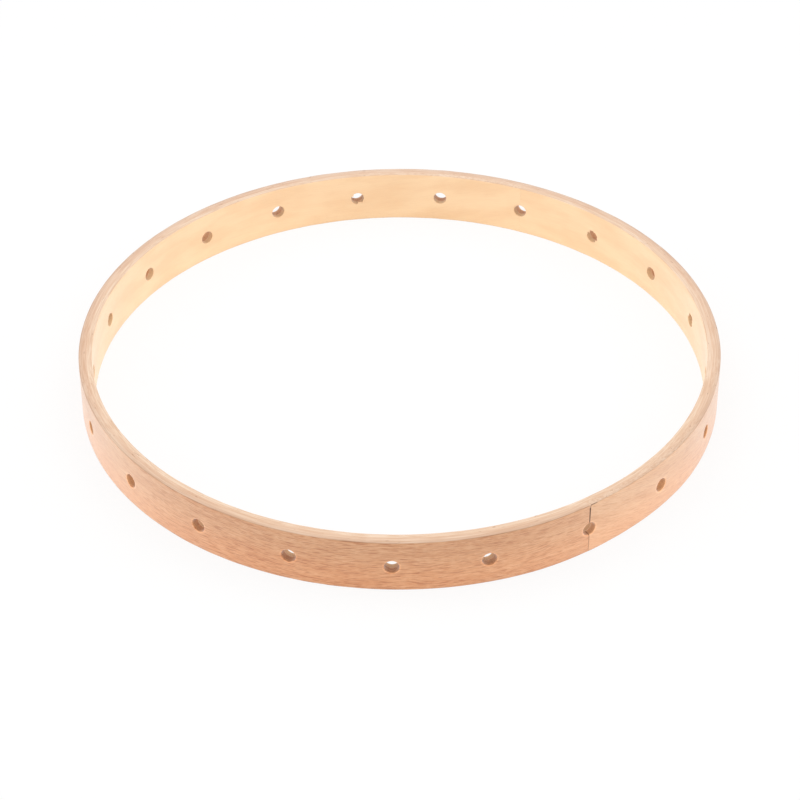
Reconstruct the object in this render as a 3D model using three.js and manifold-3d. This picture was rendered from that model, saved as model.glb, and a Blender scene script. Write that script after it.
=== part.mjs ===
// Circular weaving loom: a low hoop of two bent beech strips glued one inside the other,
// drilled all round with radial warp holes. Millimetres, +Z up. The hoop lies on z = 0
// around the Z axis, -Y is its front, and angles are degrees from +X towards +Y.
import * as THREE from "three";
import { mergeVertices } from "three/addons/utils/BufferGeometryUtils.js";
import ManifoldModule from "manifold-3d";

// Hoop: the strip stock and how its corners are sanded
const OUTER_DIAMETER = 300;
const HOOP_HEIGHT = 26;
const OUTER_STRIP_THICKNESS = 3.5;
const INNER_STRIP_THICKNESS = 2.5;
const GLUE_THICKNESS = 0.2;
const GLUE_RECESS = 0.3;
const CORNER_RADIUS = 0.4;

// Warp holes: an odd number, so that round weaving alternates from one turn to the next,
// drilled slightly below the middle of the wall
const HOLE_COUNT = 21;
const HOLE_DIAMETER = 6.5;
const HOLE_DROP = 0.3;
const HOLE_EDGE_BREAK = 0.3;
const FIRST_HOLE_ANGLE = -56.4;

// The hoop sat off the centre of the drilling jig, so the spacing drifts once around,
// and the last hole was drilled short of its mark
const JIG_OFFSET = 2.7;
const JIG_DIRECTION = 136;
const LAST_HOLE_SHORTFALL = 3;

// Butt joints: the outer strip's ends meet at the first hole and gape towards the top,
// the inner strip's ends meet tightly at a hole a third of the way round
const INNER_JOINT_HOLE = Math.round(HOLE_COUNT / 3);
const OUTER_JOINT_GAP_TOP = 0.6;
const OUTER_JOINT_GAP_BOTTOM = 0.3;
const INNER_JOINT_GAP = 0.3;

// Facets of the round shapes
const HOOP_FACETS = 120;
const HOLE_FACETS = 18;
const CORNER_FACETS = 2;

// Radii of the layers, from the outside in
const OUTER_RADIUS = OUTER_DIAMETER / 2;
const GLUE_OUTER_RADIUS = OUTER_RADIUS - OUTER_STRIP_THICKNESS;
const GLUE_INNER_RADIUS = GLUE_OUTER_RADIUS - GLUE_THICKNESS;
const INNER_RADIUS = GLUE_INNER_RADIUS - INNER_STRIP_THICKNESS;

// Cutters run this far past the wood on every side
const CUT_MARGIN = 2;

const manifold = await ManifoldModule();
manifold.setup();

function solidOf(geometry) {
  const bare = new THREE.BufferGeometry();
  bare.setAttribute("position", geometry.getAttribute("position"));
  bare.setIndex(geometry.getIndex());
  const welded = mergeVertices(bare);
  const mesh = new manifold.Mesh({
    numProp: 3,
    vertProperties: new Float32Array(welded.getAttribute("position").array),
    triVerts: new Uint32Array(welded.getIndex().array),
  });
  return new manifold.Manifold(mesh);
}

function geometryOf(solid) {
  const mesh = solid.getMesh();
  const geometry = new THREE.BufferGeometry();
  geometry.setAttribute("position", new THREE.BufferAttribute(mesh.vertProperties, mesh.numProp));
  geometry.setIndex(new THREE.BufferAttribute(mesh.triVerts, 1));
  geometry.computeVertexNormals();
  return geometry;
}

// Ring around the Z axis, turned from its section. A corner of radius 0 stays square.
function ring({ inside, outside, bottom, top, insideCorner, outsideCorner }) {
  const quarter = Math.PI / 2;
  const section = new THREE.Path();
  section.absarc(outside - outsideCorner, bottom + outsideCorner, outsideCorner, -quarter, 0);
  section.absarc(outside - outsideCorner, top - outsideCorner, outsideCorner, 0, quarter);
  section.absarc(inside + insideCorner, top - insideCorner, insideCorner, quarter, 2 * quarter);
  section.absarc(inside + insideCorner, bottom + insideCorner, insideCorner, 2 * quarter, 3 * quarter);
  section.closePath();
  // A path splits each arc into twice the number it is given
  const turned = new THREE.LatheGeometry(section.getPoints(CORNER_FACETS / 2), HOOP_FACETS);
  return solidOf(turned.rotateX(quarter));
}

// Angle of a warp hole: an even pitch as seen from the jig, shifted as seen from the hoop
function holeAngle(number) {
  const fromJig = THREE.MathUtils.degToRad(FIRST_HOLE_ANGLE + (number * 360) / HOLE_COUNT);
  const towardsJig = THREE.MathUtils.degToRad(JIG_DIRECTION) - fromJig;
  const shortfall = number === HOLE_COUNT - 1 ? LAST_HOLE_SHORTFALL : 0;
  return fromJig + (JIG_OFFSET * Math.sin(towardsJig) - shortfall) / OUTER_RADIUS;
}

// Drill shape for one warp hole, with both mouths eased where it leaves the wood
function drill(angle) {
  const radius = HOLE_DIAMETER / 2;
  const flare = radius + HOLE_EDGE_BREAK + CUT_MARGIN;
  const profile = [
    new THREE.Vector2(0, INNER_RADIUS - CUT_MARGIN),
    new THREE.Vector2(flare, INNER_RADIUS - CUT_MARGIN),
    new THREE.Vector2(radius, INNER_RADIUS + HOLE_EDGE_BREAK),
    new THREE.Vector2(radius, OUTER_RADIUS - HOLE_EDGE_BREAK),
    new THREE.Vector2(flare, OUTER_RADIUS + CUT_MARGIN),
    new THREE.Vector2(0, OUTER_RADIUS + CUT_MARGIN),
  ];
  const bit = new THREE.LatheGeometry(profile, HOLE_FACETS);
  bit.rotateZ(-Math.PI / 2);
  bit.translate(0, 0, HOOP_HEIGHT / 2 - HOLE_DROP);
  bit.rotateZ(angle);
  return solidOf(bit);
}

// Wedge-shaped blade that opens a butt joint right through one strip
function jointBlade(angle, gapAtTop, gapAtBottom) {
  const spread = ((gapAtTop - gapAtBottom) / HOOP_HEIGHT) * CUT_MARGIN;
  const above = gapAtTop + spread;
  const below = gapAtBottom - spread;
  const outline = new THREE.Shape([
    new THREE.Vector2(-below / 2, -CUT_MARGIN),
    new THREE.Vector2(below / 2, -CUT_MARGIN),
    new THREE.Vector2(above / 2, HOOP_HEIGHT + CUT_MARGIN),
    new THREE.Vector2(-above / 2, HOOP_HEIGHT + CUT_MARGIN),
  ]);
  const depth = OUTER_RADIUS - INNER_RADIUS + 2 * CUT_MARGIN;
  const blade = new THREE.ExtrudeGeometry(outline, { depth, bevelEnabled: false });
  blade.translate(0, 0, INNER_RADIUS - CUT_MARGIN);
  blade.rotateX(Math.PI / 2);
  blade.rotateZ(Math.PI / 2 + angle);
  return solidOf(blade);
}

const drills = Array.from({ length: HOLE_COUNT }, (_, number) => drill(holeAngle(number)));

function drilled(solid) {
  return drills.reduce((remaining, bit) => remaining.subtract(bit), solid);
}

const outerStrip = drilled(
  ring({
    inside: GLUE_OUTER_RADIUS,
    outside: OUTER_RADIUS,
    bottom: 0,
    top: HOOP_HEIGHT,
    insideCorner: 0,
    outsideCorner: CORNER_RADIUS,
  }),
).subtract(jointBlade(holeAngle(0), OUTER_JOINT_GAP_TOP, OUTER_JOINT_GAP_BOTTOM));

const innerStrip = drilled(
  ring({
    inside: INNER_RADIUS,
    outside: GLUE_INNER_RADIUS,
    bottom: 0,
    top: HOOP_HEIGHT,
    insideCorner: CORNER_RADIUS,
    outsideCorner: 0,
  }),
).subtract(jointBlade(holeAngle(INNER_JOINT_HOLE), INNER_JOINT_GAP, INNER_JOINT_GAP));

const glueFilm = drilled(
  ring({
    inside: GLUE_INNER_RADIUS,
    outside: GLUE_OUTER_RADIUS,
    bottom: GLUE_RECESS,
    top: HOOP_HEIGHT - GLUE_RECESS,
    insideCorner: 0,
    outsideCorner: 0,
  }),
);

// Colours of the sanded wood and the dried glue
const OUTER_WOOD = 0xd9aa83;
const INNER_WOOD = 0xefcda5;
const DRIED_GLUE = 0xb08a62;

function piece(name, solid, color) {
  const material = new THREE.MeshStandardMaterial({ color, roughness: 0.7, flatShading: true });
  const mesh = new THREE.Mesh(geometryOf(solid), material);
  mesh.name = name;
  return mesh;
}

const loom = new THREE.Group();
loom.name = "circular_weaving_loom";
loom.add(piece("outer_strip", outerStrip, OUTER_WOOD));
loom.add(piece("inner_strip", innerStrip, INNER_WOOD));
loom.add(piece("glue_film", glueFilm, DRIED_GLUE));

export default loom;
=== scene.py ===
"""Circular weaving loom: two bent beech strips glued into a hoop and drilled with warp holes.

Metres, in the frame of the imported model: the hoop lies on z = 0 around the Z axis with its front
at -Y, and angles run from +X towards +Y. The materials measure the wood in millimetres.
"""
import math
from dataclasses import dataclass, replace

import bmesh
import bpy
from mathutils import Matrix, Vector, noise


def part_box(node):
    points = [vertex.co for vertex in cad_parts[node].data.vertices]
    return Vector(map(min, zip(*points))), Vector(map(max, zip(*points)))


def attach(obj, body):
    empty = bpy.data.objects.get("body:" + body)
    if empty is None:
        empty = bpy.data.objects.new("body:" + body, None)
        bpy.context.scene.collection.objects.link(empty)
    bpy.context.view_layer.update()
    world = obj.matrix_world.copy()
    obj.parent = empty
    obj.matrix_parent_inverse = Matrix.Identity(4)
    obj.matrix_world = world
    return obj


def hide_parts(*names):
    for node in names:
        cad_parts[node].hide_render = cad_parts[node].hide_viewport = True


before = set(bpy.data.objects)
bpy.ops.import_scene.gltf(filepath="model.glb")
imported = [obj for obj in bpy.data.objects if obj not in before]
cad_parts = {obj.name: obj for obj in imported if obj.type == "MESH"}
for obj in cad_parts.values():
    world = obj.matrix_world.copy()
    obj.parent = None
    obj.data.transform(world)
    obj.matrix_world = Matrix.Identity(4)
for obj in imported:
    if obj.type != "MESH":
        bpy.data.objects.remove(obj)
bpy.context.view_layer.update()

# Sizes that the frame's boxes show
OUTER_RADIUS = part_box("outer_strip")[1].x
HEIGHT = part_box("outer_strip")[1].z
GLUE_OUTER_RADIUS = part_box("glue_film")[1].x
GLUE_INNER_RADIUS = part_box("inner_strip")[1].x
MIDDLE = HEIGHT / 2

# Sizes that the boxes don't show
INNER_STRIP_THICKNESS = 0.0025
CORNER_RADIUS = 0.0004
GLUE_RECESS = 0.00003

# Warp holes, drilled round a jig that the hoop sat a little off. The last fell short of its mark.
HOLE_COUNT = 21
HOLE_RADIUS = 0.00325
HOLE_DROP = 0.0003
HOLE_HEIGHT = MIDDLE - HOLE_DROP
OUTER_EDGE_BREAK = 0.0005
INNER_EDGE_BREAK = 0.0003
FIRST_HOLE_ANGLE = math.radians(-56.4)
JIG_OFFSET = 0.0027
JIG_DIRECTION = math.radians(136)
LAST_HOLE_SHORTFALL = 0.003

# The hole at which each strip's ends meet, and how the outer strip's ends gape towards the top
OUTER_JOINT_HOLE = 0
INNER_JOINT_HOLE = 7
OUTER_GAP_TOP = 0.0007
OUTER_GAP_BOTTOM = 0.00006
INNER_GAP = 0.00002

# Glue that fills the top of the outer joint, nearly flush with the rim and short of the wall
PLUG_HEIGHT = 0.0016
PLUG_SINK = 0.00002
PLUG_INSET = 0.00025

# Where hand sanding beside the joint has thinned the outer strip
SANDED_DEPTH = 0.0008
SANDED_ANGLE = math.radians(-48)
SANDED_REACH = math.radians(21)

# How much hand sanding varies the rounded corners and the hole mouths
CORNER_VARIATION = 0.5
CORNER_WAVES = 20
MOUTH_VARIATION = 0.5
MOUTH_STEP = 5.3

# Holes whose inner mouths have torn fibres, and how far these stand into the hole
TORN_HOLES = (4, 6, 9)
TORN_REACH = 0.0022
TORN_WAVES = 2.3

# Mesh steps: rows up a wall, columns from hole to hole, and steps round the small curves
LINE_ROWS = 5
MOUTH_ROWS = 20
ROWS = 2 * LINE_ROWS + MOUTH_ROWS
COLUMNS = 16
CROWDING = 1.6
CORNER_STEPS = 4
RIM_STEPS = 2
BREAK_STEPS = 3
BORE_STEPS = 3
WELD_DISTANCE = 1e-6
SHARP_ANGLE = math.radians(40)

# Mesh attribute that is 1 on a hole's eased mouth and 0 a little away from it
MOUTH_MARK = "mouth"

# For the materials, which measure the wood in millimetres
MILLIMETRES_PER_METRE = 1000


@dataclass
class Band:
    """One layer of the hoop's wall: the radii of its shown and hidden faces, the rounding of its
    edges, how far its hole mouths are eased and how far it stops short of the rims, the hole at
    its joint or -1, the gap there, and the holes with torn fibres."""

    shown: float
    hidden: float
    corner: float = 0.0
    edge_break: float = 0.0
    recess: float = 0.0
    joint: int = -1
    gap_top: float = 0.0
    gap_bottom: float = 0.0
    torn: tuple = ()

    @property
    def outward(self):
        return 1 if self.shown > self.hidden else -1


def hole_angle(number):
    """Even steps as seen from the jig, shifted as seen from the hoop."""
    seen = FIRST_HOLE_ANGLE + number * math.tau / HOLE_COUNT
    shift = JIG_OFFSET * math.sin(JIG_DIRECTION - seen)
    if number % HOLE_COUNT == HOLE_COUNT - 1:
        shift -= LAST_HOLE_SHORTFALL
    return seen + shift / OUTER_RADIUS


def sanded_away(radius, angle):
    """How far sanding moves a point of the outer strip inwards."""
    turn = math.remainder(angle - SANDED_ANGLE, math.tau) / SANDED_REACH
    share = (radius - GLUE_OUTER_RADIUS) / (OUTER_RADIUS - GLUE_OUTER_RADIUS)
    return SANDED_DEPTH * max(share, 0.0) * max(1 - turn * turn, 0.0) ** 2


def on_hoop(radius, angle, height, mouth=0.0):
    """A point in x, y and z, with its mouth mark in w."""
    radius -= sanded_away(radius, angle)
    return Vector((radius * math.cos(angle), radius * math.sin(angle), height, mouth))


def joint_reach(band, hole, height):
    """Half the gap between the band's ends at this height, or 0 at a hole without its joint."""
    if hole % HOLE_COUNT != band.joint:
        return 0.0
    gape = (band.gap_top - band.gap_bottom) * height / HEIGHT
    return (band.gap_bottom + gape) / 2


def smooth(share):
    """0 to 1 as share goes from 0 to 1, with a gentle start and end."""
    return share * share * (3 - 2 * share)


def corner_radius(band, angle):
    """The rounding of the band's edges, as hand sanding left it here."""
    place = Vector((math.cos(angle), math.sin(angle), band.shown)) * CORNER_WAVES
    return band.corner * (1 + CORNER_VARIATION * noise.noise(place))


def torn_reach(band, hole, side, turn):
    """How far torn fibres stand into a hole at its mouth."""
    if hole % HOLE_COUNT not in band.torn:
        return 0.0
    place = Vector((side * math.sin(turn), math.cos(turn), hole)) * TORN_WAVES
    return TORN_REACH * max(noise.noise(place), 0.0)


def mouth_radius(band, hole, side, turn, ease):
    """Radius of a hole, widened by about ease and narrowed by torn fibres."""
    place = Vector((side * math.sin(turn), math.cos(turn), MOUTH_STEP * (hole % HOLE_COUNT)))
    rounded = HOLE_RADIUS + ease * (1 + MOUTH_VARIATION * noise.noise(place))
    if band.edge_break:
        rounded -= torn_reach(band, hole, side, turn) * ease / band.edge_break
    return rounded


def beside_hole(band, hole, side, row, radius, ease, low, high):
    """Angle and height of a row where it meets the upright line through a hole, or the hole."""
    turn = math.pi * min(max(row - LINE_ROWS, 0), MOUTH_ROWS) / MOUTH_ROWS
    mouth = mouth_radius(band, hole, side, turn, ease)
    height = HOLE_HEIGHT - mouth * math.cos(turn)
    if row < LINE_ROWS:
        height -= (height - low) * (1 - row / LINE_ROWS) ** CROWDING
    elif row > ROWS - LINE_ROWS:
        height += (high - height) * (1 - (ROWS - row) / LINE_ROWS) ** CROWDING
    reach = max(mouth * math.sin(turn), joint_reach(band, hole, height))
    return hole_angle(hole) + side * math.asin(reach / radius), height


def column_place(cell, column):
    """The hole that a column is nearer to, the side of it, and how near: 1 at it, 0 midway."""
    share = column / COLUMNS
    if share <= 0.5:
        return cell, 1, 1 - (2 * share) ** CROWDING
    return cell + 1, -1, 1 - (2 - 2 * share) ** CROWDING


def column_angle(band, cell, column, height, radius):
    """Angle of a column above or below the holes, clear of the gap at a joint."""
    hole, side, near = column_place(cell, column)
    line = hole_angle(hole) + side * math.asin(joint_reach(band, hole, height) / radius)
    midway = (hole_angle(cell) + hole_angle(cell + 1)) / 2
    return line * near + midway * (1 - near)


def wall(band, cell, radius, ease, rounded):
    """Rows of points over one face, from the upright line through a hole to the next one's."""
    midway = (hole_angle(cell) + hole_angle(cell + 1)) / 2
    rows = [[] for _ in range(ROWS + 1)]
    for column in range(COLUMNS + 1):
        hole, side, near = column_place(cell, column)
        inset = band.recess
        if rounded:
            inset += corner_radius(band, column_angle(band, cell, column, MIDDLE, radius))
        low, high = inset, HEIGHT - inset
        settle = smooth(near)
        for row in range(ROWS + 1):
            angle, height = beside_hole(band, hole, side, row, radius, ease, low, high)
            even = low + (high - low) * row / ROWS
            on_mouth = near == 1 and LINE_ROWS <= row <= ROWS - LINE_ROWS
            rows[row].append(
                on_hoop(
                    radius,
                    angle * near + midway * (1 - near),
                    height * settle + even * (1 - settle),
                    float(on_mouth),
                )
            )
    return rows


def rim(band, cell, upper):
    """Lines along one edge: the rounded corner, then the flat to the hidden face."""
    lines = []
    for step in range(CORNER_STEPS + RIM_STEPS + 1):
        line = []
        for column in range(COLUMNS + 1):
            corner = corner_radius(band, column_angle(band, cell, column, MIDDLE, band.shown))
            turn = math.pi / 2 * min(step / CORNER_STEPS, 1)
            radius = band.shown - band.outward * corner * (1 - math.cos(turn))
            flat = max(step - CORNER_STEPS, 0) / RIM_STEPS
            radius += (band.hidden - radius) * flat
            inset = band.recess + corner * (1 - math.sin(turn))
            height = HEIGHT - inset if upper else inset
            angle = column_angle(band, cell, column, height, radius)
            line.append(on_hoop(radius, angle, height))
        lines.append(line)
    return lines


def bore(band, hole, side):
    """Lines round half of a hole, from its eased mouth in the shown face to the hidden face."""
    places = []
    for step in range(BREAK_STEPS + 1):
        turn = math.pi / 2 * step / BREAK_STEPS
        depth = band.edge_break * (1 - math.cos(turn))
        ease = band.edge_break * (1 - math.sin(turn))
        places.append((depth, ease, 1.0))
    thickness = abs(band.shown - band.hidden)
    for step in range(1, BORE_STEPS + 1):
        share = step / BORE_STEPS
        places.append((band.edge_break + (thickness - band.edge_break) * share, 0.0, 0.0))
    lines = []
    for depth, ease, mouth in places:
        radius = band.shown - band.outward * depth
        line = []
        for row in range(LINE_ROWS, ROWS - LINE_ROWS + 1):
            angle, height = beside_hole(band, hole, side, row, radius, ease, 0.0, HEIGHT)
            line.append(on_hoop(radius, angle, height, mouth))
        lines.append(line)
    return lines


def stretch(mesh, lines):
    """Adds the faces between neighbouring lines of points."""
    mark = mesh.verts.layers.float[MOUTH_MARK]
    made = []
    for line in lines:
        made.append([])
        for point in line:
            vertex = mesh.verts.new(point.xyz)
            vertex[mark] = point.w
            made[-1].append(vertex)
    for line, following in zip(made, made[1:]):
        for place in range(len(line) - 1):
            mesh.faces.new((line[place], line[place + 1], following[place + 1], following[place]))


def add_plug(mesh):
    """Dried glue in the top of the outer joint, from the film to just inside the wall."""
    outside = OUTER_RADIUS - PLUG_INSET
    lines = []
    for height in (HEIGHT - PLUG_HEIGHT, HEIGHT - PLUG_SINK):
        reach = joint_reach(OUTER_BAND, OUTER_JOINT_HOLE, height)
        line = []
        for radius, side in (
            (GLUE_OUTER_RADIUS, -1),
            (outside, -1),
            (outside, 1),
            (GLUE_OUTER_RADIUS, 1),
            (GLUE_OUTER_RADIUS, -1),
        ):
            angle = hole_angle(OUTER_JOINT_HOLE) + side * reach / radius
            line.append(on_hoop(radius, angle, height))
        lines.append(line)
    stretch(mesh, lines)


def drilled_band(name, band, material, extra=None):
    """A closed body: both faces, both rims and the holes, with end faces at the joint."""
    mesh = bmesh.new()
    mesh.verts.layers.float.new(MOUTH_MARK)
    start = max(band.joint, 0)
    for cell in range(start, start + HOLE_COUNT):
        stretch(mesh, wall(band, cell, band.shown, band.edge_break, True))
        stretch(mesh, wall(band, cell, band.hidden, 0.0, False))
        stretch(mesh, rim(band, cell, True))
        stretch(mesh, rim(band, cell, False))
        stretch(mesh, bore(band, cell, 1))
        stretch(mesh, bore(band, cell + 1, -1))
    if extra:
        extra(mesh)
    bmesh.ops.remove_doubles(mesh, verts=mesh.verts, dist=WELD_DISTANCE)
    bmesh.ops.dissolve_degenerate(mesh, edges=mesh.edges, dist=WELD_DISTANCE)
    open_edges = [edge for edge in mesh.edges if edge.is_boundary]
    bmesh.ops.holes_fill(mesh, edges=open_edges, sides=0)
    bmesh.ops.recalc_face_normals(mesh, faces=mesh.faces)
    data = bpy.data.meshes.new(name)
    mesh.to_mesh(data)
    mesh.free()
    data.shade_smooth()
    data.set_sharp_from_angle(angle=SHARP_ANGLE)
    data.materials.append(material)
    piece = bpy.data.objects.new(name, data)
    bpy.context.scene.collection.objects.link(piece)
    return piece


# Sockets of a Mix node that hold its share, its two colours and its result
MIX_SHARE = 0
MIX_FIRST = 6
MIX_SECOND = 7
MIX_RESULT = 2

# The level about which noise varies, and its roughness where no other is given
NOISE_MIDDLE = 0.5
NOISE_ROUGHNESS = 0.5


class Shader:
    """A material whose nodes are linked as they are added. A value may be a number or a socket."""

    def __init__(self, name):
        self.material = bpy.data.materials.new(name)
        self.material.use_nodes = True
        self.tree = self.material.node_tree
        self.surface = self.tree.nodes["Principled BSDF"]

    def put(self, socket, value):
        if isinstance(value, bpy.types.NodeSocket):
            self.tree.links.new(value, socket)
        elif socket.type == "RGBA":
            socket.default_value = (*value, 1)
        else:
            socket.default_value = value

    def add(self, kind, settings=None, **inputs):
        node = self.tree.nodes.new("ShaderNode" + kind)
        for name, value in (settings or {}).items():
            setattr(node, name, value)
        for name, value in inputs.items():
            self.put(node.inputs[name], value)
        return node

    def maths(self, operation, *values):
        node = self.add("Math", {"operation": operation})
        for socket, value in zip(node.inputs, values):
            self.put(socket, value)
        return node.outputs[0]

    def product(self, first, *others):
        for other in others:
            first = self.maths("MULTIPLY", first, other)
        return first

    def vector(self, x, y, z):
        return self.add("CombineXYZ", X=x, Y=y, Z=z).outputs[0]

    def dot(self, first, second):
        node = self.add("VectorMath", {"operation": "DOT_PRODUCT"})
        self.put(node.inputs[0], first)
        self.put(node.inputs[1], second)
        return node.outputs["Value"]

    def fade(self, value, low, high):
        """0 at low and 1 at high, smooth between them."""
        node = self.add("MapRange", {"interpolation_type": "SMOOTHSTEP"})
        self.put(node.inputs["Value"], value)
        self.put(node.inputs["From Min"], low)
        self.put(node.inputs["From Max"], high)
        return node.outputs["Result"]

    def mix(self, share, first, second, blend="MIX"):
        node = self.add("Mix", {"data_type": "RGBA", "blend_type": blend})
        self.put(node.inputs[MIX_SHARE], share)
        self.put(node.inputs[MIX_FIRST], first)
        self.put(node.inputs[MIX_SECOND], second)
        return node.outputs[MIX_RESULT]

    def tint(self, colour, share, tint):
        return self.mix(share, colour, tint, "MULTIPLY")

    def noise(self, place, detail, roughness=NOISE_ROUGHNESS):
        node = self.add("TexNoise", Vector=place, Scale=1.0, Detail=detail, Roughness=roughness)
        return node.outputs[0]


@dataclass
class Place:
    """Sockets that give a point's place on a strip laid flat: millimetres along it from its joint,
    up it and through it, and its angle round the hoop. half_length is half the strip's length."""

    angle: bpy.types.NodeSocket
    along: bpy.types.NodeSocket
    up: bpy.types.NodeSocket
    through: bpy.types.NodeSocket
    half_length: float


def strip_place(shader, joint_angle, radius):
    """The place on a strip of this radius whose ends meet at this angle."""
    point = shader.add("TexCoord").outputs["Object"]
    parts = shader.add("SeparateXYZ", Vector=point)
    angle = shader.maths("ARCTAN2", parts.outputs["Y"], parts.outputs["X"])
    turned = shader.maths("FLOORED_MODULO", shader.maths("SUBTRACT", angle, joint_angle), math.tau)
    across = shader.vector(parts.outputs["X"], parts.outputs["Y"], 0.0)
    through = shader.add("VectorMath", {"operation": "LENGTH"})
    shader.put(through.inputs[0], across)
    return Place(
        angle=angle,
        along=shader.maths("MULTIPLY", turned, radius * MILLIMETRES_PER_METRE),
        up=shader.maths("MULTIPLY", parts.outputs["Z"], MILLIMETRES_PER_METRE),
        through=shader.maths("MULTIPLY", through.outputs["Value"], MILLIMETRES_PER_METRE),
        half_length=math.pi * radius * MILLIMETRES_PER_METRE,
    )


@dataclass
class Mark:
    """Marks of the grain: their length along the strip, height up it and depth through it in
    millimetres, the noise levels between which they show, and the tint that they give the wood."""

    size: tuple
    levels: tuple
    tint: tuple
    detail: float = 2.0
    roughness: float = NOISE_ROUGHNESS


RINGS = Mark((150.0, 2.6, 2.2), (0.35, 0.7), (0.93, 0.86, 0.79), 3.0, 0.6)
PATCHES = Mark((30.0, 9.0, 9.0), (0.35, 0.65), (0.95, 0.9, 0.86))
STREAKS = Mark((3.2, 0.32, 0.32), (0.38, 0.62), (0.84, 0.66, 0.5), 2.0, 0.6)
FLECKS = Mark((6.0, 0.38, 0.38), (0.54, 0.63), (0.64, 0.42, 0.26), 1.0)
SAWN_LINES = Mark((24.0, 0.5, 0.45), (0.36, 0.64), (0.86, 0.75, 0.65), 2.0, 0.6)
SPECKS = Mark((4.0, 0.7, 0.7), (0.71, 0.77), (0.6, 0.46, 0.36), 1.0)

# The grain wanders up and down the strip, and runs out across it near its start, in millimetres
WANDER_LENGTH = 60.0
WANDER_HEIGHT = 8.0
WANDER_DETAIL = 1.0
RUN_OUT_LENGTH = 90.0
RUN_OUT_HEIGHT = 17.0

# Spans over which something goes from none to all. The first three are in millimetres: distance
# from the wall's middle, height on the wall for the painted floor glow, and distance from the
# joint.
# The last is a strength of the patches, where painted shade on the arrises shows. The others are
# how far the surface is turned upwards or outwards.
NEAR_RIM = (9.1, 11.0)
FOOT_GLOW = (23.4, 1.3)
JOINT_END = (0.8, 0.4)
RIM_UPRIGHT = (0.45, 0.9)
ARRIS_START = (0.05, 0.3)
ARRIS_END = (1.0, 0.9)
CUT_FACING = (0.75, 0.35)
END_UPRIGHT = (0.6, 0.3)
ARRIS_SHADE_PATCHES = (-0.6, 0.8)

# Tints of places on the strip: painted shade on its arrises, end grain with painted shade in the
# joint, painted shade on the rim's outer edge, and a painted shadow line beside the joint
ARRIS_SHADE_TINT = (0.7, 0.66, 0.64)
END_GRAIN_AND_SHADE_TINT = (0.45, 0.27, 0.16)
BRINK_SHADE_TINT = (0.9, 0.9, 0.92)
SPLIT_SHADOW_TINT = (0.4, 0.34, 0.3)

# Share of the painted shadow line's length that is darkened fully, before it fades out
SPLIT_SHADOW_FULL_SHARE = 0.7

# How strongly streaks and flecks show outside the heartwood
SAPWOOD_MARKS = 0.5

# Finish of the sanded wood
SMOOTH_ROUGHNESS = 0.4
STREAK_ROUGHNESS = 0.1
CUT_ROUGHNESS = 0.25
RELIEF_STRENGTH = 0.15
RELIEF_DEPTH = 0.00004
SHEEN_ROUGHNESS = 0.5


@dataclass
class Wood:
    """One beech strip: its colours, where along it the heartwood rises and falls away, the tints
    of its foot (a painted glow of floor light), of its cuts (end grain with painted shade) and of
    its holes' mouths, how strongly marks and fuzz show, how strongly painted shade darkens its
    arrises, the radii between which painted shade darkens its rim towards the outer edge, and the
    length of the painted shadow line along the arris at its end. A strip may have no tint of its
    mouths, no shaded rim and no painted shadow line."""

    face: tuple
    heart: tuple
    edge: tuple
    heart_rise: tuple
    heart_fall: tuple
    painted_foot_glow: tuple
    cut: tuple
    streaks: float
    flecks: float
    sheen: float
    arris_shade: float
    mouth: tuple = ()
    shaded_brink: tuple = ()
    split: float = 0.0


def strip_surface(shader, place):
    """Shares of a surface that are sawn rim, rounded arris, a hole's or end's cut, and end."""
    normal = shader.add("NewGeometry").outputs["Normal"]
    upright = shader.maths("ABSOLUTE", shader.dot(normal, (0.0, 0.0, 1.0)))
    cosine = shader.maths("COSINE", place.angle)
    sine = shader.maths("SINE", place.angle)
    outward = shader.vector(cosine, sine, 0.0)
    facing = shader.maths("ABSOLUTE", shader.dot(normal, outward))
    above_middle = shader.maths("SUBTRACT", place.up, MIDDLE * MILLIMETRES_PER_METRE)
    from_middle = shader.maths("ABSOLUTE", above_middle)
    near_rim = shader.fade(from_middle, *NEAR_RIM)
    rim_share = shader.product(near_rim, shader.fade(upright, *RIM_UPRIGHT))
    rounded = shader.product(shader.fade(upright, *ARRIS_START), shader.fade(upright, *ARRIS_END))
    off_rim = shader.maths("SUBTRACT", 1.0, rim_share)
    cut = shader.product(off_rim, shader.fade(facing, *CUT_FACING))
    end = shader.product(cut, shader.fade(upright, *END_UPRIGHT))
    to_joint = shader.maths("PINGPONG", place.along, place.half_length)
    end = shader.product(end, shader.fade(to_joint, *JOINT_END))
    return rim_share, shader.product(near_rim, rounded), cut, end


def grain_place(shader, place):
    """The place measured along the grain."""
    spot = shader.vector(shader.maths("DIVIDE", place.along, WANDER_LENGTH), 0.0, 0.0)
    drift = shader.maths("SUBTRACT", shader.noise(spot, WANDER_DETAIL), NOISE_MIDDLE)
    drift = shader.product(drift, WANDER_HEIGHT)
    left = shader.maths("SUBTRACT", 1.0, shader.maths("DIVIDE", place.along, RUN_OUT_LENGTH))
    left = shader.maths("MAXIMUM", left, 0.0)
    run_out = shader.product(left, left, -RUN_OUT_HEIGHT)
    return replace(place, up=shader.maths("ADD", place.up, shader.maths("ADD", drift, run_out)))


def share_of(shader, place, mark):
    """How strongly a mark shows at each point, from 0 to 1."""
    length, height, depth = mark.size
    spot = shader.vector(
        shader.maths("DIVIDE", place.along, length),
        shader.maths("DIVIDE", place.up, height),
        shader.maths("DIVIDE", place.through, depth),
    )
    return shader.fade(shader.noise(spot, mark.detail, mark.roughness), *mark.levels)


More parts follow.
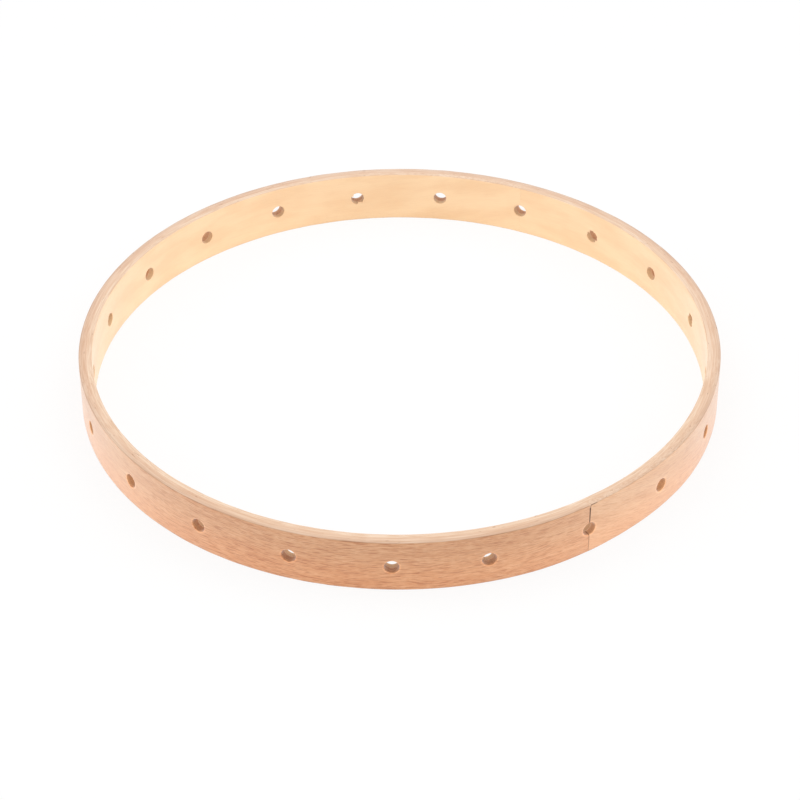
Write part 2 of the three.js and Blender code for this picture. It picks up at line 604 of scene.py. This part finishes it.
def beech(name, joint_angle, radius, wood):
    """Bare sanded beech for a strip of this radius whose ends meet at this angle."""
    shader = Shader(name)
    place = strip_place(shader, joint_angle, radius)
    rim_share, arris, cut, end = strip_surface(shader, place)
    grain = grain_place(shader, place)
    patches = share_of(shader, grain, PATCHES)
    streaks = share_of(shader, grain, STREAKS)
    flecks = share_of(shader, grain, FLECKS)

    # The broad face: redder heartwood along part of the strip, with dense streaks and flecks
    heart = shader.fade(place.along, *wood.heart_rise)
    heart = shader.product(heart, shader.fade(place.along, *wood.heart_fall))
    face = shader.mix(heart, wood.face, wood.heart)
    # Painted light: the wall is tinted lighter towards its foot, standing in for bounce light from
    # the floor
    face = shader.tint(face, shader.fade(place.up, *FOOT_GLOW), wood.painted_foot_glow)
    marked = shader.maths("MULTIPLY_ADD", heart, 1 - SAPWOOD_MARKS, SAPWOOD_MARKS)
    face = shader.tint(face, shader.product(streaks, marked, wood.streaks), STREAKS.tint)
    face = shader.tint(face, shader.product(flecks, marked, wood.flecks), FLECKS.tint)

    # The sawn rim: long lines and a few dark specks of torn grain
    edge = shader.tint(wood.edge, share_of(shader, grain, SAWN_LINES), SAWN_LINES.tint)
    edge = shader.tint(edge, share_of(shader, grain, SPECKS), SPECKS.tint)
    # Painted shade darkens the rim towards its outer edge
    if wood.shaded_brink:
        edge = shader.tint(edge, shader.fade(place.through, *wood.shaded_brink), BRINK_SHADE_TINT)

    # Both have growth rings and patches of tone. Cuts are darker, from end grain and from painted
    # shade inside the holes, and a sanded mouth may be paler.
    colour = shader.mix(rim_share, face, edge)
    rings = shader.product(share_of(shader, grain, RINGS), wood.streaks)
    colour = shader.tint(colour, rings, RINGS.tint)
    colour = shader.tint(colour, patches, PATCHES.tint)
    colour = shader.tint(colour, cut, wood.cut)
    if wood.mouth:
        mouth = shader.add("Attribute", {"attribute_name": MOUTH_MARK}).outputs["Fac"]
        colour = shader.tint(colour, mouth, wood.mouth)

    # The strip's ends are darker for end grain, with painted shade deep in the narrow joint
    colour = shader.tint(colour, end, END_GRAIN_AND_SHADE_TINT)
    # Painted shade darkens the rounded arrises, in patches
    arris_shade = shader.product(arris, wood.arris_shade, shader.fade(patches, *ARRIS_SHADE_PATCHES))
    colour = shader.tint(colour, arris_shade, ARRIS_SHADE_TINT)
    # A painted shadow line along the arris at the strip's start, beside the joint
    if wood.split:
        fading = shader.fade(place.along, wood.split, SPLIT_SHADOW_FULL_SHARE * wood.split)
        split = shader.product(arris, fading)
        colour = shader.tint(colour, split, SPLIT_SHADOW_TINT)
    shader.put(shader.surface.inputs["Base Color"], colour)

    # Streaks and flecks are slightly sunken pores, and the bare sanded wood has a fine fuzz
    pores = shader.maths("ADD", streaks, flecks)
    relief = shader.add("Bump", {"invert": True}, Height=pores)
    relief.inputs["Strength"].default_value = RELIEF_STRENGTH
    relief.inputs["Distance"].default_value = RELIEF_DEPTH
    shader.put(shader.surface.inputs["Normal"], relief.outputs["Normal"])
    rough = shader.maths("MULTIPLY_ADD", streaks, STREAK_ROUGHNESS, SMOOTH_ROUGHNESS)
    rough = shader.maths("MULTIPLY_ADD", cut, CUT_ROUGHNESS, rough)
    shader.put(shader.surface.inputs["Roughness"], rough)
    shader.surface.inputs["Sheen Weight"].default_value = wood.sheen
    shader.surface.inputs["Sheen Roughness"].default_value = SHEEN_ROUGHNESS
    return shader.material


# Dried glue, cloudy in lumps of this many to the metre
GLUE_CLOUDS = 400
GLUE_DETAIL = 3.0
GLUE_PALE = (0.8, 0.56, 0.39)
GLUE_DARK = (0.67, 0.43, 0.28)
GLUE_ROUGHNESS = 0.5


def dried_glue(name):
    shader = Shader(name)
    point = shader.add("TexCoord").outputs["Object"]
    spot = shader.add("Mapping", Vector=point, Scale=(GLUE_CLOUDS,) * 3).outputs[0]
    colour = shader.mix(shader.noise(spot, GLUE_DETAIL), GLUE_PALE, GLUE_DARK)
    shader.put(shader.surface.inputs["Base Color"], colour)
    shader.surface.inputs["Roughness"].default_value = GLUE_ROUGHNESS
    return shader.material


OUTER_WOOD = Wood(
    face=(0.797, 0.487, 0.278),
    heart=(0.711, 0.4, 0.2145),
    edge=(0.745, 0.525, 0.365),
    heart_rise=(690.0, 790.0),
    heart_fall=(1010.0, 860.0),
    painted_foot_glow=(1.16, 1.07, 1.0),
    cut=(0.7, 0.66, 0.58),
    streaks=0.7,
    flecks=0.7,
    sheen=0.7,
    arris_shade=0.7,
    mouth=(1.22, 1.25, 1.28),
    shaded_brink=(147.5, 149.8),
    split=4.5,
)
INNER_WOOD = Wood(
    face=(0.915, 0.65, 0.393),
    heart=(0.78, 0.5, 0.288),
    edge=(0.8, 0.6, 0.44),
    heart_rise=(320.0, 390.0),
    heart_fall=(730.0, 670.0),
    painted_foot_glow=(1.04, 1.05, 1.05),
    cut=(0.77, 0.74, 0.69),
    streaks=0.12,
    flecks=0.1,
    sheen=0.5,
    arris_shade=0.05,
)

OUTER_BAND = Band(
    shown=OUTER_RADIUS,
    hidden=GLUE_OUTER_RADIUS,
    corner=CORNER_RADIUS,
    edge_break=OUTER_EDGE_BREAK,
    joint=OUTER_JOINT_HOLE,
    gap_top=OUTER_GAP_TOP,
    gap_bottom=OUTER_GAP_BOTTOM,
)
INNER_BAND = Band(
    shown=GLUE_INNER_RADIUS - INNER_STRIP_THICKNESS,
    hidden=GLUE_INNER_RADIUS,
    corner=CORNER_RADIUS,
    edge_break=INNER_EDGE_BREAK,
    joint=INNER_JOINT_HOLE,
    gap_top=INNER_GAP,
    gap_bottom=INNER_GAP,
    torn=TORN_HOLES,
)
GLUE_BAND = Band(shown=GLUE_OUTER_RADIUS, hidden=GLUE_INNER_RADIUS, recess=GLUE_RECESS)

OUTER_BEECH = beech("outer_strip_wood", hole_angle(OUTER_JOINT_HOLE), OUTER_RADIUS, OUTER_WOOD)
INNER_BEECH = beech("inner_strip_wood", hole_angle(INNER_JOINT_HOLE), GLUE_INNER_RADIUS, INNER_WOOD)

for name, slot, band, material, extra in (
    ("outer_strip", "outer_strip_wood", OUTER_BAND, OUTER_BEECH, None),
    ("inner_strip", "inner_strip_wood", INNER_BAND, INNER_BEECH, None),
    ("glue_film", "dried_glue", GLUE_BAND, dried_glue("dried_glue"), add_plug),
):
    piece = drilled_band(name + "_look", band, material, extra)
    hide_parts(name)
    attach(piece, "root")

# Camera, found from the hoop's edges in the photograph
PHOTO_SIZE = 800
FOCAL_LENGTH_PIXELS = 2684
SENSOR_WIDTH_MM = 36
CAMERA_DISTANCE = 1.2669
CAMERA_ELEVATION = math.radians(36.834)
CAMERA_ROLL = math.radians(0.233)
HOOP_RISE_IN_VIEW = 0.01861
HOOP_SHIFT_IN_VIEW = -0.00009


def add_camera():
    back = Vector((0, -math.cos(CAMERA_ELEVATION), math.sin(CAMERA_ELEVATION)))
    right = Vector((1, 0, 0))
    up = back.cross(right)
    eye = Vector((0, 0, MIDDLE)) + back * CAMERA_DISTANCE
    eye -= right * HOOP_SHIFT_IN_VIEW + up * HOOP_RISE_IN_VIEW
    turned_right = right * math.cos(CAMERA_ROLL) - up * math.sin(CAMERA_ROLL)
    turned_up = right * math.sin(CAMERA_ROLL) + up * math.cos(CAMERA_ROLL)
    camera = bpy.data.cameras.new("camera")
    camera.sensor_width = SENSOR_WIDTH_MM
    camera.lens = FOCAL_LENGTH_PIXELS / PHOTO_SIZE * SENSOR_WIDTH_MM
    holder = bpy.data.objects.new("camera", camera)
    axes = Matrix((turned_right, turned_up, back)).transposed()
    holder.matrix_world = Matrix.Translation(eye) @ axes.to_4x4()
    bpy.context.scene.collection.objects.link(holder)
    bpy.context.scene.camera = holder


# White paper floor, a white world, two softboxes beside the hoop and a small one over it
FLOOR_REACH = 4.0
FLOOR_COLOUR = 0.92
FLOOR_WHITE_SHARE = 0.85
WORLD_LIGHT = 0.95
SIDE_LIGHT_REACH = 1.4
SIDE_LIGHT_HEIGHT = 0.5
SIDE_LIGHT_SIZE = (0.9, 0.7)
SIDE_LIGHT_POWER = 5
TOP_LIGHT_HEIGHT = 0.3
TOP_LIGHT_SIZE = (0.22, 0.22)
TOP_LIGHT_POWER = 0.15


def seen_directly(tree):
    """1 for what the camera sees, also by a mirror or through glass, and 0 for other light."""
    path = tree.nodes.new("ShaderNodeLightPath")
    seen = path.outputs["Is Camera Ray"]
    for name in ("Is Glossy Ray", "Is Transmission Ray"):
        either = tree.nodes.new("ShaderNodeMath")
        either.operation = "MAXIMUM"
        tree.links.new(seen, either.inputs[0])
        tree.links.new(path.outputs[name], either.inputs[1])
        seen = either.outputs[0]
    return seen


def floor_material():
    """Paper that keeps a faint shadow but is seen as nearly white."""
    shader = Shader("floor")
    paper = shader.add("BsdfDiffuse", Color=(FLOOR_COLOUR,) * 3)
    white = shader.add("Emission", Color=(1, 1, 1), Strength=1.0)
    share = shader.product(seen_directly(shader.tree), FLOOR_WHITE_SHARE)
    blend = shader.add("MixShader", Fac=share)
    shader.tree.links.new(paper.outputs[0], blend.inputs[1])
    shader.tree.links.new(white.outputs[0], blend.inputs[2])
    output = shader.tree.nodes["Material Output"]
    shader.tree.links.new(blend.outputs[0], output.inputs["Surface"])
    shader.tree.nodes.remove(shader.surface)
    return shader.material


def add_floor():
    data = bpy.data.meshes.new("floor")
    reach = FLOOR_REACH
    corners = [(-reach, -reach, 0), (reach, -reach, 0), (reach, reach, 0), (-reach, reach, 0)]
    data.from_pydata(corners, [], [(0, 1, 2, 3)])
    data.materials.append(floor_material())
    floor = bpy.data.objects.new("floor", data)
    bpy.context.scene.collection.objects.link(floor)


def add_softbox(name, place, size, power):
    light = bpy.data.lights.new(name, "AREA")
    light.shape = "RECTANGLE"
    light.size, light.size_y = size
    light.energy = power
    holder = bpy.data.objects.new(name, light)
    holder.location = place
    holder.rotation_mode = "QUATERNION"
    holder.rotation_quaternion = (-Vector(place)).to_track_quat("-Z", "Y")
    holder.visible_camera = False
    bpy.context.scene.collection.objects.link(holder)


def add_world():
    world = bpy.data.worlds.new("world")
    world.use_nodes = True
    tree = world.node_tree
    share = tree.nodes.new("ShaderNodeMapRange")
    tree.links.new(seen_directly(tree), share.inputs["Value"])
    share.inputs["To Min"].default_value = WORLD_LIGHT
    share.inputs["To Max"].default_value = 1.0
    background = tree.nodes["Background"]
    background.inputs["Color"].default_value = (1, 1, 1, 1)
    tree.links.new(share.outputs[0], background.inputs["Strength"])
    bpy.context.scene.world = world


add_camera()
add_floor()
for light_name, reach in (("left", -SIDE_LIGHT_REACH), ("right", SIDE_LIGHT_REACH)):
    add_softbox(light_name, (reach, 0, SIDE_LIGHT_HEIGHT), SIDE_LIGHT_SIZE, SIDE_LIGHT_POWER)
add_softbox("overhead", (0, 0, TOP_LIGHT_HEIGHT), TOP_LIGHT_SIZE, TOP_LIGHT_POWER)
add_world()
bpy.context.scene.view_settings.view_transform = "Standard"
